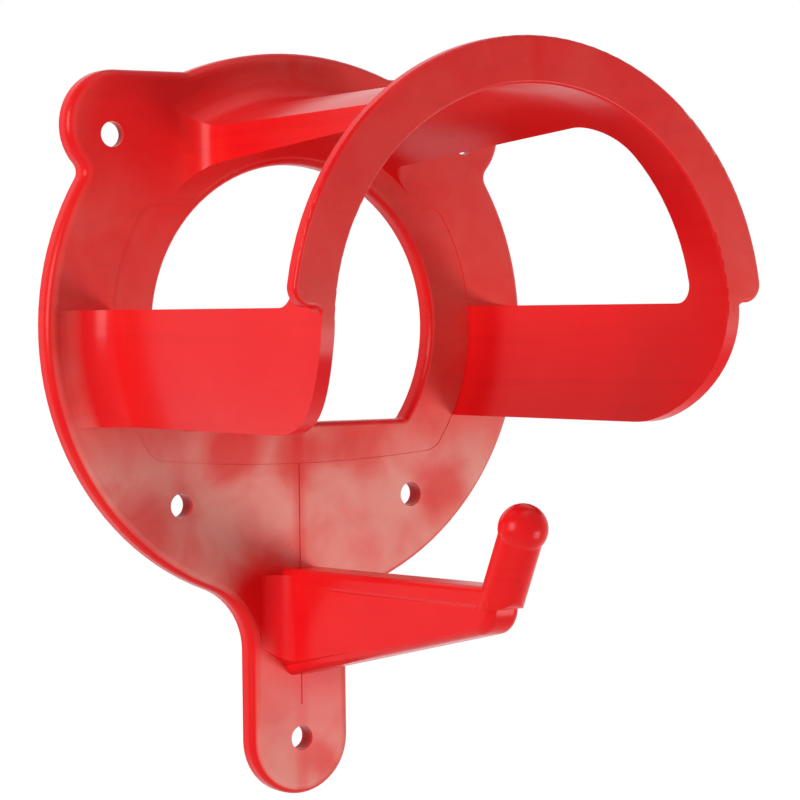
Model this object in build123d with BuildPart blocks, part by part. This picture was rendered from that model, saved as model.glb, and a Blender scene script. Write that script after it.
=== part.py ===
from build123d import *
import os

# One-piece moulded bridle bracket: a round wall plate with two ears and a tab, an arch that carries
# the headpiece, and a hook below for the reins.
# The origin is the middle of the plate's opening, on the wall. +Z is up and the part stands out along -Y.
# All lengths are in millimetres. A "rise" is a distance from the wall, towards -Y.

# Arch
arch_radius = 61.8  # inner face where the arch leaves the plate
arch_flare = 1.6  # how much wider the inner face is at the front, for draft
arch_wall = 4.0
arch_reach = 122.0  # front of the plate to the front of the arch
arch_root_share = 0.96  # root curve as a share of the flat of the plate outside the arch
band_width = 15.5  # length of the full hoop behind the front face
arm_top = 5.5
arm_depth = 33.2
window_low_round = 6.0
window_top_round = 12.0
arch_edge_round = 0.8

# Lip round the front of the arch
lip_width = 8.6
lip_thickness = 4.0
lip_tip_round = 5.0
lip_heel_round = 2.5
lip_front_round = 1.3

# Shelf that joins the arch to the plate at the top
shelf_width = 63.0
shelf_root_thickness = 9.6
shelf_root_share = 0.85  # root curve as a share of the flat of the plate above the shelf
shelf_skin = 3.0
shelf_core_depth = 50.0
shelf_core_tip = 1.2

# Wall plate
plate_margin = 16.2  # plate beyond the outside of the arch
crown_drop = 1.4  # the top is a little flatter than the rest of the round
crown_spread = 13.0  # radius of the top beyond that of the rest
plate_depth = 6.0
plate_skin = 3.2
rim_wall = 3.0
edge_round = 3.0
root_sink = 0.02  # root curves run this far into the plate and meet it at an edge
opening_ledge = 14.0  # plate between the arch's inner face and the opening
opening_flat_drop = 28.4
opening_edge_round = 2.6
opening_corner_round = 1.5
panel_depth = 0.25
panel_ledge = 9.6  # panel below the flat of the opening
panel_clearance = 2.0  # panel below the root of the shelf
panel_sag = 2.5
panel_corner_round = 7.0

# Ears at the top corners of the plate
ear_radius = 16.0
ear_reach = 58.5
ear_top_drop = 8.0  # flat top below the top of the round plate
ear_top_round = 4.0
ear_side_round = 3.5

# Tab at the bottom of the plate
tab_width = 33.6
tab_drop = 122.0
neck_round = 20.0

# Screw holes
screw_hole = 7.3
boss_wall = 3.4
ear_screw_out = 2.1  # ear screw beyond the middle of the ear's round end
ear_screw_down = 2.6
lower_screw_span = 79.4
lower_screw_drop = 51.3

# Hook below the plate
hook_top_drop = 71.2
hook_rise = 1.6  # how much higher the bar's top is at the pin
bar_width = 12.0
bar_thickness = 6.0
bar_round = 1.8
web_width = 10.4
web_root_depth = 32.2
web_front_depth = 12.1
web_nose_round = 8.0
web_round = 2.6
web_toe_radius = 4.0
root_flank = 23.0  # upright flank of the root, below the bar's top
web_blend = 80.0  # length over which the root narrows into the web
web_skin = 3.2
web_core_depth = 70.0
pin_reach = 104.9  # front of the plate to the pin, level with the bar's top
pin_diameter = 12.2
pin_lean = 27.0
pin_length = 17.9
pin_foot_round = 4.5
ball_diameter = 13.6

# Fine line left by the mould down the middle of the plate
seam_width = 0.5
seam_depth = 0.25
seam_end_drop = 112.0

arch_outer = arch_radius + arch_wall
plate_radius = arch_outer + plate_margin
opening_radius = arch_radius - opening_ledge
front_rise = plate_depth + arch_reach
band_rise = front_rise - band_width
root_rise = plate_depth - plate_skin / 2
sunk_rise = plate_depth - root_sink
arch_root_round = arch_root_share * (plate_margin - edge_round)
ear_middle = plate_radius - ear_top_drop - ear_radius
arm_bottom = arm_top - arm_depth
front_inner = arch_radius + arch_flare
front_outer = front_inner + arch_wall
lip_radius = front_outer + lip_width
panel_bottom = -opening_flat_drop - panel_ledge
panel_half = (arch_radius**2 - panel_bottom**2) ** 0.5
panel_bow = (panel_half**2 + panel_sag**2) / (2 * panel_sag)
root_flare = (tab_width - bar_width) / 2 - edge_round
pin_rise = plate_depth + pin_reach
shelf_half = shelf_width / 2
shelf_end = front_rise - band_width / 2
shelf_root_round = shelf_root_share * (plate_margin - crown_drop - edge_round)
shelf_foot = shelf_half + shelf_root_round
panel_top = ((arch_outer - shelf_root_thickness) ** 2 - shelf_foot**2) ** 0.5 - panel_clearance


# Width of the arch's inner face at a distance from the wall
def inner_radius(rise):
    return arch_radius + arch_flare * (rise - plate_depth) / arch_reach


# Height of the top of the bar at a distance from the wall
def bar_top(rise):
    return -hook_top_drop + hook_rise * (rise - plate_depth) / pin_reach


# Round plate with its ears and tab, seen from the front
with BuildSketch(Plane.XZ) as plate_outline:
    Circle(plate_radius)
    with Locations((0, -crown_drop - crown_spread)):
        Circle(plate_radius + crown_spread, mode=Mode.INTERSECT)
    with Locations((0, ear_middle)):
        Rectangle(2 * ear_reach, 2 * ear_radius)
        with GridLocations(2 * ear_reach, 0, 2, 1):
            Circle(ear_radius)
    with Locations((0, -tab_drop / 2)):
        Rectangle(tab_width, tab_drop)
    with Locations((0, -tab_drop)):
        Circle(tab_width / 2)
    corners = plate_outline.vertices()
    fillet(corners.filter_by(lambda v: -plate_radius < v.Y < -plate_radius / 2), neck_round)
    corners = plate_outline.vertices()
    fillet(corners.filter_by(lambda v: v.Y > ear_middle and abs(v.X) < ear_reach - root_sink), ear_top_round)
    corners = plate_outline.vertices().filter_by(lambda v: 0 < v.Y < ear_middle - root_sink)
    fillet(corners.filter_by(lambda v: abs(v.X) > ear_reach), ear_side_round)

# Opening in the middle of the plate, round with a flat at the bottom
with BuildSketch(Plane.XZ) as opening_outline:
    Circle(opening_radius)
    with Locations((0, -opening_flat_drop)):
        Rectangle(2 * plate_radius, plate_radius, align=(Align.CENTER, Align.MAX), mode=Mode.SUBTRACT)
    fillet(opening_outline.vertices(), opening_corner_round)

# Shallow panel round the opening, where the core of the mould closed on the plate
with BuildPart() as panel:
    with BuildSketch(Plane.XZ.offset(plate_depth - panel_depth)) as panel_outline:
        Circle(arch_radius)
        with Locations((0, panel_bottom - panel_sag + panel_bow)):
            Circle(panel_bow, mode=Mode.INTERSECT)
        with Locations((0, panel_top)):
            Rectangle(2 * arch_radius, arch_radius, align=(Align.CENTER, Align.MIN), mode=Mode.SUBTRACT)
    extrude(amount=plate_depth)
    fillet(panel.edges().filter_by(Axis.Y), panel_corner_round)

# Shelf across the top, thick at the plate and running out into the hoop
with BuildPart() as shelf:
    with BuildSketch(Plane.XY) as shelf_section:
        with BuildLine():
            Polyline(
                (arch_outer - shelf_root_thickness, -root_rise),
                (inner_radius(band_rise), -band_rise),
                (inner_radius(shelf_end) + arch_wall / 2, -shelf_end),
                (inner_radius(band_rise) + arch_wall - root_sink, -band_rise),
                (inner_radius(root_rise) + arch_wall, -root_rise),
                close=True,
            )
        make_face()
    revolve(axis=Axis.Y)
    with BuildSketch(Plane.XY) as shelf_plan:
        with Locations((0, -root_rise)):
            Rectangle(shelf_width, shelf_end - root_rise, align=(Align.CENTER, Align.MAX))
        with Locations((0, -band_rise)):
            head_width = shelf_width + 2 * (window_top_round + root_sink)
            Rectangle(head_width, shelf_end - band_rise, align=(Align.CENTER, Align.MAX))
        corners = shelf_plan.vertices().filter_by(lambda v: abs(v.X) < shelf_half + root_sink)
        fillet(corners.filter_by(lambda v: abs(v.Y + band_rise) < root_sink), window_top_round)
    extrude(amount=plate_radius, mode=Mode.INTERSECT)

# Wall plate: a skin on the front, a rim behind it round the outside and round the opening.
# The shelf grows out of it through a wide root curve.
with BuildPart() as plate:
    extrude(plate_outline.sketch, amount=plate_depth)
    fillet(plate.faces().sort_by(Axis.Y)[0].edges(), edge_round)
    extrude(opening_outline.sketch, amount=plate_depth, mode=Mode.SUBTRACT)
    fillet(plate.faces().sort_by(Axis.Y)[0].inner_wires().edges(), opening_edge_round)
    with BuildSketch(Plane.XZ) as pan:
        offset(plate_outline.sketch_local, amount=-rim_wall)
        offset(opening_outline.sketch_local, amount=rim_wall, mode=Mode.SUBTRACT)
    extrude(amount=plate_depth - plate_skin, mode=Mode.SUBTRACT)
    add(panel.part, mode=Mode.SUBTRACT)
    add(shelf.part)
    front_edges = plate.edges().filter_by(lambda e: abs(e.center().Y + plate_depth) < root_sink)
    root_edges = front_edges.filter_by(lambda e: abs(abs(e.center().X) - shelf_half) < root_sink)
    root_edges += front_edges.filter_by(lambda e: abs(e.center().Z - arch_outer) < root_sink)
    fillet(root_edges, shelf_root_round)

# Ring that the arch is cut from, wider at the front and flared where it leaves the plate
with BuildPart() as ring:
    with BuildSketch(Plane.XY) as ring_section:
        with BuildLine():
            Polyline(
                (inner_radius(root_rise), -root_rise),
                (inner_radius(front_rise), -front_rise),
                (inner_radius(front_rise) + arch_wall, -front_rise),
                (inner_radius(sunk_rise) + arch_wall, -sunk_rise),
                (plate_radius - edge_round, -sunk_rise),
                (plate_radius - edge_round, -root_rise),
                close=True,
            )
        make_face()
        root_corner = ring_section.vertices().sort_by_distance((arch_outer, -plate_depth))[0]
        fillet(root_corner, arch_root_round)
        front_corner = ring_section.vertices().sort_by_distance((front_inner, -front_rise))[0]
        fillet(front_corner, arch_edge_round)
    revolve(axis=Axis.Y)

# Lip round the front of the hoop, ended by round tips above the arms
with BuildPart() as lip:
    with BuildSketch(Plane.XZ.offset(front_rise - lip_thickness)) as lip_outline:
        Circle(lip_radius)
        with Locations((0, arm_top)):
            Rectangle(3 * lip_radius, 2 * lip_radius, align=(Align.CENTER, Align.MAX), mode=Mode.SUBTRACT)
        fillet(lip_outline.vertices(), lip_tip_round)
        with PolarLocations(0, 1, start_angle=-90):
            Circle(front_outer - root_sink)
        heels = lip_outline.vertices().filter_by(lambda v: abs(v.Y - arm_top) < root_sink)
        fillet(heels.filter_by(lambda v: abs(v.X) < front_outer), lip_heel_round)
        Circle(front_outer - arch_wall / 2, mode=Mode.SUBTRACT)
        with Locations((0, arm_top - lip_heel_round)):
            Rectangle(3 * lip_radius, 2 * lip_radius, align=(Align.CENTER, Align.MAX), mode=Mode.SUBTRACT)
    extrude(amount=lip_thickness)
    fillet(lip.faces().sort_by(Axis.Y)[0].edges().sort_by(Edge.length)[-1], lip_front_round)

# Arch: two flat arms that sweep up into a full hoop
with BuildPart() as arch:
    add(ring.part)
    with BuildSketch(Plane.YZ) as arch_side:
        with Locations((-front_rise, arm_bottom)):
            Rectangle(front_rise, arm_depth, align=Align.MIN)
            Rectangle(band_width, arm_depth + plate_radius, align=Align.MIN)
        fillet(arch_side.vertices().sort_by_distance((-front_rise, arm_bottom))[0], arm_depth)
        fillet(arch_side.vertices().sort_by_distance((-band_rise, arm_top))[0], window_low_round)
    extrude(amount=plate_radius, both=True, mode=Mode.INTERSECT)

# Deep web under the bar of the hook, tapered to the front
with BuildPart() as web:
    with BuildSketch(Plane.YZ) as web_side:
        with BuildLine():
            web_foot = Line(
                (-root_rise, -hook_top_drop - web_root_depth),
                (-pin_rise, bar_top(pin_rise) - web_front_depth),
            )
            Polyline(
                web_foot @ 1,
                (-pin_rise, bar_top(pin_rise) - bar_thickness / 2),
                (-root_rise, bar_top(root_rise) - bar_thickness / 2),
                web_foot @ 0,
            )
        make_face()
        fillet(web_side.vertices().sort_by_distance(web_foot @ 1)[0], web_nose_round)
    extrude(amount=web_width / 2, both=True)
    low_edges = web.edges().filter_by(lambda e: e.center().Z < bar_top(pin_rise) - bar_thickness)
    side_edges = low_edges.filter_by(lambda e: abs(e.center().X) > web_width / 4)
    fillet(side_edges.filter_by(lambda e: e.center().Y < -plate_depth), web_round)

# Bar on top of the web
with BuildPart() as bar:
    with BuildSketch(Plane.YZ) as bar_side:
        with BuildLine():
            Polyline(
                (-root_rise, bar_top(root_rise)),
                (-root_rise, bar_top(root_rise) - bar_thickness),
                (-pin_rise, bar_top(pin_rise) - bar_thickness),
                (-pin_rise, bar_top(pin_rise)),
                close=True,
            )
        make_face()
    extrude(amount=bar_width / 2, both=True)
    fillet(bar.edges().filter_by(lambda e: e.length > pin_reach), bar_round)

# Root of the hook, spread to the width of the tab and rounded underneath
with BuildPart() as root_spread:
    with BuildSketch(Plane.XZ.offset(root_rise)) as spread_front:
        with Locations((0, -hook_top_drop)):
            Rectangle(bar_width + 2 * root_flare, root_flank, align=(Align.CENTER, Align.MAX))
        with Locations((0, web_toe_radius - hook_top_drop - web_root_depth)):
            Circle(web_toe_radius)
        make_hull()
    extrude(amount=front_rise, dir=(0, (web_foot % 0).X, (web_foot % 0).Y))
    with BuildSketch(Plane.XY.offset(-hook_top_drop - bar_round)) as spread_plan:
        with BuildLine():
            flare_foot = (bar_width / 2 + root_flare, -sunk_rise)
            flare_end = (bar_width / 2, -sunk_rise - root_flare)
            Polyline((0, -root_rise), (bar_width / 2 + root_flare, -root_rise), flare_foot)
            RadiusArc(flare_foot, flare_end, root_flare)
            blend_rise = sunk_rise + root_flare + web_blend
            Polyline(flare_end, (web_width / 2 - web_round / 2, -blend_rise), (0, -blend_rise))
            mirror(about=Plane.YZ)
        make_face()
    extrude(amount=-web_root_depth, mode=Mode.INTERSECT)

# Leaning pin with a ball on its end
pin_plane = Plane((0, -pin_rise, bar_top(pin_rise)), x_dir=(1, 0, 0), z_dir=(0, -1, 0))
pin_plane = pin_plane.rotated((pin_lean, 0, 0))
with BuildPart() as pin:
    with BuildSketch(pin_plane) as pin_half:
        with BuildLine():
            Polyline(
                (0, -pin_length),
                (pin_diameter / 2, -pin_length),
                (pin_diameter / 2, pin_length),
                (0, pin_length),
                close=True,
            )
        make_face()
        with Locations((0, pin_length)):
            Circle(ball_diameter / 2)
        split(bisect_by=Plane.YZ, keep=Keep.TOP)
    revolve(axis=Axis(pin_plane.origin, pin_plane.y_dir))
    with BuildSketch(Plane.YZ) as pin_under:
        bar_under = bar_top(pin_rise) - bar_thickness
        with Locations((-pin_rise, bar_under)):
            Rectangle(4 * pin_length, 2 * pin_length, align=(Align.CENTER, Align.MAX))
        with Locations(Location((-pin_rise, bar_top(pin_rise)), pin_lean)):
            with Locations((-pin_diameter / 2 - root_sink, 0)):
                Rectangle(pin_diameter, pin_length, align=(Align.MAX, Align.CENTER))
        foot_corner = (-pin_rise - pin_diameter / 2, bar_under)
        fillet(pin_under.vertices().sort_by_distance(foot_corner)[0], pin_foot_round)
    extrude(amount=pin_diameter, both=True, mode=Mode.SUBTRACT)

# Pockets behind the shelf and the web, which keep the wall of the moulding even
with BuildPart() as pockets:
    with BuildSketch(Plane.XY) as shelf_core:
        with BuildLine():
            Polyline(
                (arch_outer - shelf_skin, 0),
                (arch_outer - shelf_root_thickness + shelf_skin, 0),
                (arch_outer - shelf_skin - shelf_core_tip, -shelf_core_depth),
                (arch_outer - shelf_skin, -shelf_core_depth),
                close=True,
            )
        make_face()
    revolve(axis=Axis.Y)
    with BuildSketch(Plane.XY) as shelf_core_plan:
        Rectangle(shelf_width - 2 * shelf_skin, 2 * shelf_core_depth)
    extrude(amount=plate_radius, mode=Mode.INTERSECT)
    with BuildSketch(Plane.YZ) as web_core:
        with BuildLine():
            Polyline(
                (0, -hook_top_drop - web_skin),
                (0, -hook_top_drop - web_root_depth + web_skin),
                (-plate_depth, -hook_top_drop - web_root_depth + web_skin),
                (-web_core_depth, -hook_top_drop - web_root_depth / 2),
                (-web_core_depth, -hook_top_drop - web_skin),
                close=True,
            )
        make_face()
    extrude(amount=web_width / 2 - web_skin, both=True)

# Whole bracket in one piece
with BuildPart() as stable_hook:
    add(plate.part)
    with Locations((0, -plate_depth, -(seam_end_drop - panel_bottom) / 2)):
        Box(seam_width, 2 * seam_depth, seam_end_drop + panel_bottom, mode=Mode.SUBTRACT)
    add(arch.part)
    add(lip.part)
    add(root_spread.part)
    add(web.part)
    add(bar.part)
    add(pin.part)
    with BuildSketch(Plane.XZ) as bosses:
        with Locations((0, -tab_drop)):
            Circle(screw_hole / 2 + boss_wall)
        with Locations((0, -lower_screw_drop)):
            with GridLocations(lower_screw_span, 0, 2, 1):
                Circle(screw_hole / 2 + boss_wall)
    extrude(amount=root_rise)
    with BuildSketch(Plane.XZ) as screw_holes:
        with Locations((0, -tab_drop)):
            Circle(screw_hole / 2)
        with Locations((0, -lower_screw_drop)):
            with GridLocations(lower_screw_span, 0, 2, 1):
                Circle(screw_hole / 2)
        with Locations((0, ear_middle - ear_screw_down)):
            with GridLocations(2 * (ear_reach + ear_screw_out), 0, 2, 1):
                Circle(screw_hole / 2)
    extrude(amount=2 * plate_depth, mode=Mode.SUBTRACT)
    add(pockets.part, mode=Mode.SUBTRACT)

stable_hook.part.label = "stable_hook"
os.makedirs("parts", exist_ok=True)
export_step(stable_hook.part, "parts/stable_hook.step")
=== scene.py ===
import math
import bmesh
import bpy
from mathutils import Matrix, Vector
from mathutils.kdtree import KDTree


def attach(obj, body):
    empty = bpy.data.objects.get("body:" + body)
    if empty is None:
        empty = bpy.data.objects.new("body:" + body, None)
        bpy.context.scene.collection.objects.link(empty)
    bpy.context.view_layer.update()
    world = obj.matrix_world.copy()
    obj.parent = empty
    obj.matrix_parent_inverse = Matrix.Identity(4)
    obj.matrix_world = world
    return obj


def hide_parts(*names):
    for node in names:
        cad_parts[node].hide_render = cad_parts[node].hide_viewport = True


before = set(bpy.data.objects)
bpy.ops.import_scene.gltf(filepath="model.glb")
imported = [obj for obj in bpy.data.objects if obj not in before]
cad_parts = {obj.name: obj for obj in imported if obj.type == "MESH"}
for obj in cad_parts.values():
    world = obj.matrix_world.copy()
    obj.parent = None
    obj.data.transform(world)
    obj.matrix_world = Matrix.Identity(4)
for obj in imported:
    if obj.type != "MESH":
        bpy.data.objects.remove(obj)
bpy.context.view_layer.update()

# everything is in metres, in the bracket's own frame: the wall is y=0, the arch stands out along -y
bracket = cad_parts["stable_hook"]
print("bracket loaded", len(bracket.data.polygons), "faces")


def addNode(tree, kind, spot, **values):
    node = tree.nodes.new(kind)
    node.location = spot
    for name, value in values.items():
        setattr(node, name, value)
    return node


def feed(tree, source, target):
    tree.links.new(source, target)


def colourSockets(sockets):
    return [socket for socket in sockets if socket.type == "RGBA"]


def addMath(tree, spot, operation, *operands):
    # each operand is a socket or a plain number
    node = addNode(tree, "ShaderNodeMath", spot, operation=operation)
    for socket, operand in zip(node.inputs, operands):
        if isinstance(operand, float):
            socket.default_value = operand
        else:
            feed(tree, operand, socket)
    return node.outputs["Value"]


def addSpan(tree, spot, source, before, after, smooth="LINEAR"):
    # carries a value from one span to another, held at the ends
    node = addNode(tree, "ShaderNodeMapRange", spot, interpolation_type=smooth)
    node.inputs["From Min"].default_value, node.inputs["From Max"].default_value = before
    node.inputs["To Min"].default_value, node.inputs["To Max"].default_value = after
    feed(tree, source, node.inputs["Value"])
    return node.outputs["Result"]


def addNoise(tree, spot, source, scale, detail, roughness=0.5, distortion=0.0):
    node = addNode(tree, "ShaderNodeTexNoise", spot)
    node.inputs["Scale"].default_value = scale
    node.inputs["Detail"].default_value = detail
    node.inputs["Roughness"].default_value = roughness
    node.inputs["Distortion"].default_value = distortion
    feed(tree, source, node.inputs["Vector"])
    return node.outputs["Fac"]


def addDistance(tree, spot, source, point):
    node = addNode(tree, "ShaderNodeVectorMath", spot, operation="DISTANCE")
    node.inputs[1].default_value = point
    feed(tree, source, node.inputs[0])
    return node.outputs["Value"]


def addRamp(tree, spot, source, stops, smooth="B_SPLINE"):
    # one value drawn against another through (input, output) stops
    low, high = stops[0][0], stops[-1][0]
    spread = addSpan(tree, spot, source, (low, high), (0.0, 1.0))
    ramp = addNode(tree, "ShaderNodeValToRGB", (spot[0] + 180, spot[1]))
    ramp.color_ramp.interpolation = smooth
    points = ramp.color_ramp.elements
    while len(points) < len(stops):
        points.new(0.5)
    for point, (at, level) in zip(points, stops):
        point.position = (at - low) / (high - low)
        point.color = (level, level, level, 1.0)
    feed(tree, spread, ramp.inputs["Fac"])
    return ramp.outputs["Color"]


def startMaterial(name):
    material = bpy.data.materials.new(name)
    material.use_nodes = True
    tree = material.node_tree
    tree.nodes.clear()
    output = addNode(tree, "ShaderNodeOutputMaterial", (1400, 0))
    return material, tree, output


# one red plastic for the whole moulding: flow streaks along the arms, sink marks over the screw bosses,
# and a pale painted reflection on the faces that look out from the wall, heavier low down
mouldedRed = {
    "red": (0.80, 0.006, 0.010, 1.0),
    "warmRed": (0.84, 0.014, 0.012, 1.0),
    "deepRed": (0.60, 0.004, 0.006, 1.0),
    "warmSpan": (0.30, 0.72),  # where in the clouds the red turns warm
    "roughness": (0.20, 0.30),
    "specular": 0.12,
    "ior": 1.5,
    "cloudScale": 28.0,  # broad clouds in the colour, per metre
    "cloudDetail": 3.0,
    "streakScale": (70.0, 5.0, 260.0),  # streaks run along y
    "streakDetail": 4.0,
    "streakBreak": 0.6,
    "streakSpan": (0.52, 0.80),
    "streakMost": 0.35,  # share of the deep red in a streak
    "streakDepth": 0.00003,
    "waveScale": 22.0,  # slow waves in the skin
    "waveDetail": 1.0,
    "waveDepth": 0.00045,
    "grainScale": 1500.0,
    "grainDetail": 2.0,
    "grainDepth": 0.000006,
    "sinkSpots": [(0.0397, -0.006, -0.0513), (-0.0397, -0.006, -0.0513), (0.0, -0.006, -0.122)],
    "sinkReach": 0.022,
    "sinkDepth": 0.0009,
    # painted reflection: a pale veil painted into the base colour where the front faces would reflect the lamps
    # and the white surround
    "paintedReflection": {
        "tone": (0.95, 0.66, 0.54, 1.0),
        "rough": 0.45,  # added roughness where the painted reflection is full
        "facing": (-0.96, -0.70),  # y of the normal, from full painted reflection to none
        # each face has its mask by distance from the wall and its amount by height
        "faces": [
            {
                "mask": [(0.0050, 0.0), (0.0056, 1.0), (0.0064, 1.0), (0.0080, 0.0)],
                "amount": [
                    (-0.134, 0.36), (-0.124, 0.34), (-0.112, 0.20), (-0.098, 0.08), (-0.084, 0.27),
                    (-0.074, 0.45), (-0.050, 0.46), (-0.040, 0.43), (-0.032, 0.26), (-0.020, 0.095),
                    (0.030, 0.08), (0.070, 0.09), (0.090, 0.11),
                ],
            },
            {
                "mask": [(0.1266, 0.0), (0.1279, 1.0)],
                "amount": [(-0.010, 0.15), (0.030, 0.055), (0.080, 0.05)],
            },
        ],
        "seamHalf": (0.0006, 0.0032),  # the painted reflection is thin along the middle seam
        "seamShare": 0.40,
        "cloudScale": 60.0,
        "cloudDetail": 4.0,
        "cloudTwist": 0.6,
        "cloudShare": [(0.0, 0.35), (0.35, 0.55), (0.65, 1.0), (1.0, 1.0)],
        "gain": 1.28,  # makes up for what the clouds take away
        "ragged": 0.010,  # how far the clouds pull the edge of a spot without painted reflection in or out
        "spotCore": 0.25,  # middle of a spot that has its whole share, as part of its reach
        # spots where the painted reflection is cut back to the red: upper left, under the shelf and at the
        # hook's root (painted shade), screw holes, below the opening
        "reflectionCutSpots": [
            {"at": (-0.044, -0.006, 0.062), "reach": 0.050, "share": 0.90},
            {"at": (0.000, -0.006, 0.052), "reach": 0.030, "share": 0.90},
            {"at": (-0.022, -0.006, -0.036), "reach": 0.014, "share": 0.60},
            {"at": (0.022, -0.006, -0.036), "reach": 0.014, "share": 0.60},
            {"at": (-0.012, -0.006, -0.081), "reach": 0.024, "share": 1.0},
            {"at": (-0.051, -0.006, -0.057), "reach": 0.019, "share": 0.65},
            {"at": (0.051, -0.006, -0.051), "reach": 0.016, "share": 0.75},
            {"at": (0.000, -0.006, -0.038), "reach": 0.011, "share": 0.60},
            {"at": (0.005, -0.006, -0.128), "reach": 0.009, "share": 0.60},
            {"at": (0.000, -0.006, -0.098), "reach": 0.014, "share": 0.60},
        ],
    },
}


def addPaintedReflection(tree, values, place):
    # how much of the painted reflection lies at each point, from 0 to about 0.5
    parts = addNode(tree, "ShaderNodeSeparateXYZ", (-2400, 900))
    feed(tree, place.outputs["Object"], parts.inputs["Vector"])
    depth = addMath(tree, (-2200, 900), "MULTIPLY", parts.outputs["Y"], -1.0)
    amounts = []
    for number, face in enumerate(values["faces"]):
        mask = addRamp(tree, (-2000, 900 - 500 * number), depth, face["mask"], "LINEAR")
        amount = addRamp(tree, (-2000, 650 - 500 * number), parts.outputs["Z"], face["amount"])
        amounts.append(addMath(tree, (-1600, 800 - 500 * number), "MULTIPLY", mask, amount))
    paintedReflection = addMath(tree, (-1400, 800), "ADD", amounts[0], amounts[1])

    # none on roundings and sides, little along the seam
    turned = addNode(tree, "ShaderNodeSeparateXYZ", (-2400, 500))
    feed(tree, place.outputs["Normal"], turned.inputs["Vector"])
    facing = addSpan(tree, (-2200, 500), turned.outputs["Y"], values["facing"], (1.0, 0.0), "SMOOTHSTEP")
    paintedReflection = addMath(tree, (-1250, 800), "MULTIPLY", paintedReflection, facing)
    aside = addMath(tree, (-2200, 300), "ABSOLUTE", parts.outputs["X"])
    seam = addSpan(tree, (-2000, 300), aside, values["seamHalf"], (1.0 - values["seamShare"], 1.0), "SMOOTHSTEP")
    paintedReflection = addMath(tree, (-1100, 800), "MULTIPLY", paintedReflection, seam)

    # clouds, and spots where the painted reflection is cut back to the red, painted shade under the shelf and at
    # the hook's root among them
    clouds = addNoise(
        tree, (-2000, 1300), place.outputs["Object"],
        values["cloudScale"], values["cloudDetail"], distortion=values["cloudTwist"],
    )
    cloudShare = addRamp(tree, (-1800, 1300), clouds, values["cloudShare"])
    ragged = addMath(tree, (-1400, 1300), "MULTIPLY_ADD", clouds, values["ragged"], -values["ragged"] / 2)
    paintedReflection = addMath(tree, (-1200, 1100), "MULTIPLY", paintedReflection, cloudShare)
    paintedReflection = addMath(tree, (-1050, 1100), "MULTIPLY", paintedReflection, values["gain"])
    for number, spot in enumerate(values["reflectionCutSpots"]):
        row = 1300 + 200 * number
        reach = (spot["reach"] * values["spotCore"], spot["reach"])
        away = addDistance(tree, (-1000, row), place.outputs["Object"], spot["at"])
        away = addMath(tree, (-850, row), "ADD", away, ragged)
        left = addSpan(tree, (-700, row), away, reach, (1.0 - spot["share"], 1.0), "SMOOTHSTEP")
        paintedReflection = addMath(tree, (-500, row), "MULTIPLY", paintedReflection, left)
    return paintedReflection


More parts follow.
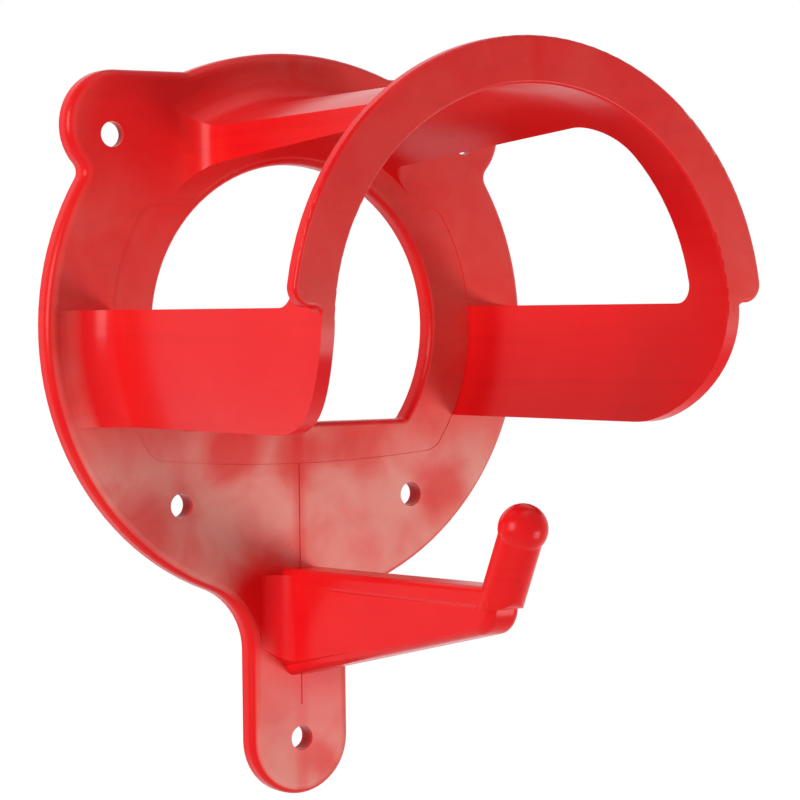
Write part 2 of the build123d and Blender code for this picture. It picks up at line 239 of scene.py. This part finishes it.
def makeMouldedRed(values):
    material, tree, output = startMaterial("mouldedRed")
    shader = addNode(tree, "ShaderNodeBsdfPrincipled", (1100, 0))
    shader.inputs["Specular IOR Level"].default_value = values["specular"]
    shader.inputs["IOR"].default_value = values["ior"]
    place = addNode(tree, "ShaderNodeTexCoord", (-1400, 0))
    here = place.outputs["Object"]

    # broad clouds turn the red a little warmer or deeper
    clouds = addNoise(tree, (-1000, 500), here, values["cloudScale"], values["cloudDetail"])
    cloudRamp = addNode(tree, "ShaderNodeValToRGB", (-750, 500))
    for point, at, tone in zip(cloudRamp.color_ramp.elements, values["warmSpan"], ("red", "warmRed")):
        point.position = at
        point.color = values[tone]
    feed(tree, clouds, cloudRamp.inputs["Fac"])

    # flow streaks, stretched along the way the plastic ran
    stretch = addNode(tree, "ShaderNodeMapping", (-1200, 100))
    stretch.inputs["Scale"].default_value = values["streakScale"]
    feed(tree, here, stretch.inputs["Vector"])
    streaks = addNoise(
        tree, (-1000, 100), stretch.outputs["Vector"],
        1.0, values["streakDetail"], values["streakBreak"],
    )
    streakTone = addSpan(tree, (-750, 250), streaks, values["streakSpan"], (0.0, values["streakMost"]))
    streaked = addNode(tree, "ShaderNodeMix", (-450, 400), data_type="RGBA")
    streakedIn = colourSockets(streaked.inputs)
    streakedIn[1].default_value = values["deepRed"]
    feed(tree, streakTone, streaked.inputs["Factor"])
    feed(tree, cloudRamp.outputs["Color"], streakedIn[0])

    # dished sink marks over the bosses, where the wall is thick
    sinks = None
    for number, spot in enumerate(values["sinkSpots"]):
        row = -300 - 180 * number
        away = addDistance(tree, (-1000, row), here, spot)
        dish = addSpan(tree, (-750, row), away, (0.0, values["sinkReach"]), (1.0, 0.0), "SMOOTHERSTEP")
        sinks = dish if sinks is None else addMath(tree, (-500, row), "ADD", sinks, dish)

    # the painted reflection goes over the red
    paintedReflection = addPaintedReflection(tree, values["paintedReflection"], place)
    toned = addNode(tree, "ShaderNodeMix", (0, 350), data_type="RGBA")
    tonedIn = colourSockets(toned.inputs)
    tonedIn[1].default_value = values["paintedReflection"]["tone"]
    feed(tree, paintedReflection, toned.inputs["Factor"])
    feed(tree, colourSockets(streaked.outputs)[0], tonedIn[0])
    feed(tree, colourSockets(toned.outputs)[0], shader.inputs["Base Color"])

    # roughness drifts with the same clouds, and the faces under the painted reflection are duller
    sheen = addSpan(tree, (-450, 50), clouds, (0.0, 1.0), values["roughness"])
    dull = addMath(tree, (-250, 50), "MULTIPLY_ADD", paintedReflection, values["paintedReflection"]["rough"], sheen)
    feed(tree, dull, shader.inputs["Roughness"])

    # the skin: slow waves, sinks, streaks and a fine grain
    waves = addNoise(tree, (-1000, -900), here, values["waveScale"], values["waveDetail"])
    grain = addNoise(tree, (-1000, -1150), here, values["grainScale"], values["grainDetail"])
    layers = [
        (waves, values["waveDepth"], False),
        (sinks, values["sinkDepth"], True),
        (streaks, values["streakDepth"], False),
        (grain, values["grainDepth"], False),
    ]
    lastNormal = None
    for number, (height, depth, inwards) in enumerate(layers):
        bump = addNode(tree, "ShaderNodeBump", (200 + 200 * number, -500), invert=inwards)
        bump.inputs["Strength"].default_value = 1.0
        bump.inputs["Distance"].default_value = depth
        feed(tree, height, bump.inputs["Height"])
        if lastNormal is not None:
            feed(tree, lastNormal, bump.inputs["Normal"])
        lastNormal = bump.outputs["Normal"]
    feed(tree, lastNormal, shader.inputs["Normal"])
    feed(tree, shader.outputs["BSDF"], output.inputs["Surface"])
    return material


redPlastic = makeMouldedRed(mouldedRed)
for slot in bracket.material_slots:
    slot.material = redPlastic
print("plastic on the bracket")

# the hook's root sweeps out to the tab in a hollow curve, where the CAD's shoulder bulges
hookRoot = {
    "barHalf": 0.006,
    "plateFront": -0.006,
    "flare": 0.0078,  # radius of the curve, in plan
    "top": -0.073,
    "low": -0.104,
    "rimDrop": 0.01,  # points further than this below the top are on the slanted underside
    "sideSlope": 0.73,  # z per metre sideways on that underside
    "underSlope": 0.204,  # z per metre outwards
    "upright": 0.3,  # most that the normal of an upright face may rise
    "merge": 0.0000001,
    "slack": 0.00012,
}


def cadCorners(work):
    # the CAD's own smooth normal for each corner of each face
    source = bracket.data
    centres = KDTree(len(source.polygons))
    for polygon in source.polygons:
        centres.insert(polygon.center, polygon.index)
    centres.balance()
    normals = {}
    for face in work.faces:
        polygon = source.polygons[centres.find(face.calc_center_median())[1]]
        spots = [source.vertices[source.loops[n].vertex_index].co for n in polygon.loop_indices]
        for vert in face.verts:
            nearest = min(range(len(spots)), key=lambda n: (spots[n] - vert.co).length)
            normals[(face, vert)] = source.corner_normals[polygon.loop_indices[nearest]].vector.copy()
    return normals


def makeHollowRoot(values):
    bpy.ops.object.select_all(action="DESELECT")
    bracket.select_set(True)
    bpy.context.view_layer.objects.active = bracket
    bpy.ops.object.duplicate()
    shown = bpy.context.object
    shown.name = "hollowRootBracket"
    work = bmesh.new()
    work.from_mesh(shown.data)
    bmesh.ops.remove_doubles(work, verts=work.verts, dist=values["merge"])
    work.normal_update()
    slack, flare = values["slack"], values["flare"]

    def away(point):
        return abs(point.x) - values["barHalf"], values["plateFront"] - point.y

    def onShoulder(vert):
        side, rise = away(vert.co)
        inside = min(side, rise) > -slack and values["low"] < vert.co.z < values["top"] + slack
        return inside and abs(math.hypot(side, rise) - flare) < slack

    normals = cadCorners(work)
    shoulder = {vert for vert in work.verts if onShoulder(vert)}
    curved = [
        face for face in work.faces
        if all(vert in shoulder for vert in face.verts) and abs(face.normal.z) < values["upright"]
    ]

    # the outline turns over its own chord: sideways and outwards change places
    for vert in shoulder:
        side, rise = away(vert.co)
        shift = flare - side - rise
        if vert.co.z < values["top"] - values["rimDrop"]:
            vert.co.z += shift * (values["sideSlope"] + values["underSlope"])
        vert.co.x += math.copysign(1.0, vert.co.x) * shift
        vert.co.y -= shift
    for face in curved:
        for vert in face.verts:
            side, rise = away(vert.co)
            inwards = Vector((math.copysign(flare - side, vert.co.x), rise - flare, 0.0))
            normals[(face, vert)] = inwards.normalized()
    ordered = [normals[(loop.face, loop.vert)] for face in work.faces for loop in face.loops]
    work.to_mesh(shown.data)
    work.free()
    shown.data.shade_smooth()
    shown.data.normals_split_custom_set(ordered)
    print("hollow root made,", len(shoulder), "points turned")
    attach(shown, "root")
    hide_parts("stable_hook")
    return shown


makeHollowRoot(hookRoot)

# studio: a pale floor well below the bracket, a white surround, three soft lamps
studio = {
    "floorSize": 8.0,
    "floorDrop": -0.90,
    "floorTone": (0.80, 0.80, 0.79, 1.0),
    "floorRoughness": 0.9,
    "floorLift": 0.80,  # brings the floor up to white where it is looked at
    "white": (1.0, 1.0, 1.0, 1.0),
    "surroundTone": (0.80, 0.82, 0.85, 1.0),
    "surroundLevel": 0.28,
    "lamps": [
        {
            "name": "leftPanel", "at": (-1.60, -0.15, 0.30), "aim": (0.0, -0.06, -0.02),
            "size": (0.8, 0.8), "watts": 21.0,
        },
        {
            "name": "frontPanel", "at": (0.34, -0.62, -0.30), "aim": (0.0, -0.02, -0.09),
            "size": (0.30, 0.26), "watts": 2.6,
        },
        {
            "name": "topPanel", "at": (0.10, -0.30, 1.40), "aim": (0.0, -0.06, 0.0),
            "size": (1.0, 1.0), "watts": 5.0,
        },
    ],
}


def seenRays(tree):
    # 1 for what is looked at, straight or in a reflection, and 0 for light that falls on things
    rays = addNode(tree, "ShaderNodeLightPath", (-500, -300))
    seen = addMath(tree, (-300, -300), "MAXIMUM", rays.outputs["Is Camera Ray"], rays.outputs["Is Glossy Ray"])
    return addMath(tree, (-100, -300), "MAXIMUM", seen, rays.outputs["Is Transmission Ray"])


def makeFloor(values):
    bpy.ops.object.select_all(action="DESELECT")
    bpy.ops.mesh.primitive_plane_add(size=values["floorSize"], location=(0.0, 0.0, values["floorDrop"]))
    floor = bpy.context.object
    floor.name = "studioFloor"
    material, tree, output = startMaterial("paleFloor")
    matt = addNode(tree, "ShaderNodeBsdfPrincipled", (600, 200))
    matt.inputs["Base Color"].default_value = values["floorTone"]
    matt.inputs["Roughness"].default_value = values["floorRoughness"]
    glow = addNode(tree, "ShaderNodeEmission", (600, -200))
    glow.inputs["Color"].default_value = values["white"]
    level = addMath(tree, (300, -300), "MULTIPLY", seenRays(tree), values["floorLift"])
    feed(tree, level, glow.inputs["Strength"])
    both = addNode(tree, "ShaderNodeAddShader", (1000, 0))
    feed(tree, matt.outputs["BSDF"], both.inputs[0])
    feed(tree, glow.outputs["Emission"], both.inputs[1])
    feed(tree, both.outputs["Shader"], output.inputs["Surface"])
    floor.data.materials.append(material)


def makeSurround(values):
    world = bpy.data.worlds.new("studioSurround")
    bpy.context.scene.world = world
    world.use_nodes = True
    tree = world.node_tree
    tree.nodes.clear()
    output = addNode(tree, "ShaderNodeOutputWorld", (800, 0))
    light = addNode(tree, "ShaderNodeBackground", (300, 150))
    light.inputs["Color"].default_value = values["surroundTone"]
    light.inputs["Strength"].default_value = values["surroundLevel"]
    seen = addNode(tree, "ShaderNodeBackground", (300, -150))
    seen.inputs["Color"].default_value = values["white"]
    seen.inputs["Strength"].default_value = 1.0
    pick = addNode(tree, "ShaderNodeMixShader", (560, 0))
    feed(tree, seenRays(tree), pick.inputs["Fac"])
    feed(tree, light.outputs["Background"], pick.inputs[1])
    feed(tree, seen.outputs["Background"], pick.inputs[2])
    feed(tree, pick.outputs["Shader"], output.inputs["Surface"])


def makeLamp(values):
    data = bpy.data.lights.new(values["name"], "AREA")
    data.shape = "RECTANGLE"
    data.size = values["size"][0]
    data.size_y = values["size"][1]
    data.energy = values["watts"]
    lamp = bpy.data.objects.new(values["name"], data)
    bpy.context.collection.objects.link(lamp)
    towards = Vector(values["aim"]) - Vector(values["at"])
    turn = towards.to_track_quat("-Z", "Y").to_matrix().to_4x4()
    lamp.matrix_world = Matrix.Translation(values["at"]) @ turn


makeFloor(studio)
makeSurround(studio)
for lampValues in studio["lamps"]:
    makeLamp(lampValues)
print("studio lit")

# camera where the photograph was taken from
camera = {
    "at": (-0.46483, -0.76380, 0.00508),
    "yaw": 33.47,  # degrees, from +y towards +x
    "pitch": -1.75,
    "roll": -0.67,
    "lens": 135.29,  # mm
    "sensor": 36.0,
    "clip": (0.05, 30.0),
}


def makeCamera(values):
    yaw = math.radians(values["yaw"])
    pitch = math.radians(values["pitch"])
    roll = math.radians(values["roll"])
    reach = math.cos(pitch)
    forward = Vector((math.sin(yaw) * reach, math.cos(yaw) * reach, math.sin(pitch)))
    level = Vector((math.cos(yaw), -math.sin(yaw), 0.0))
    upright = level.cross(forward)
    right = level * math.cos(roll) + upright * math.sin(roll)
    up = upright * math.cos(roll) - level * math.sin(roll)
    data = bpy.data.cameras.new("photoCamera")
    data.sensor_width = values["sensor"]
    data.lens = values["lens"]
    data.clip_start, data.clip_end = values["clip"]
    view = bpy.data.objects.new("photoCamera", data)
    bpy.context.collection.objects.link(view)
    turn = Matrix((right, up, -forward)).transposed().to_4x4()
    view.matrix_world = Matrix.Translation(values["at"]) @ turn
    bpy.context.scene.camera = view


makeCamera(camera)
bpy.context.scene.view_settings.view_transform = "Standard"
print("camera set")
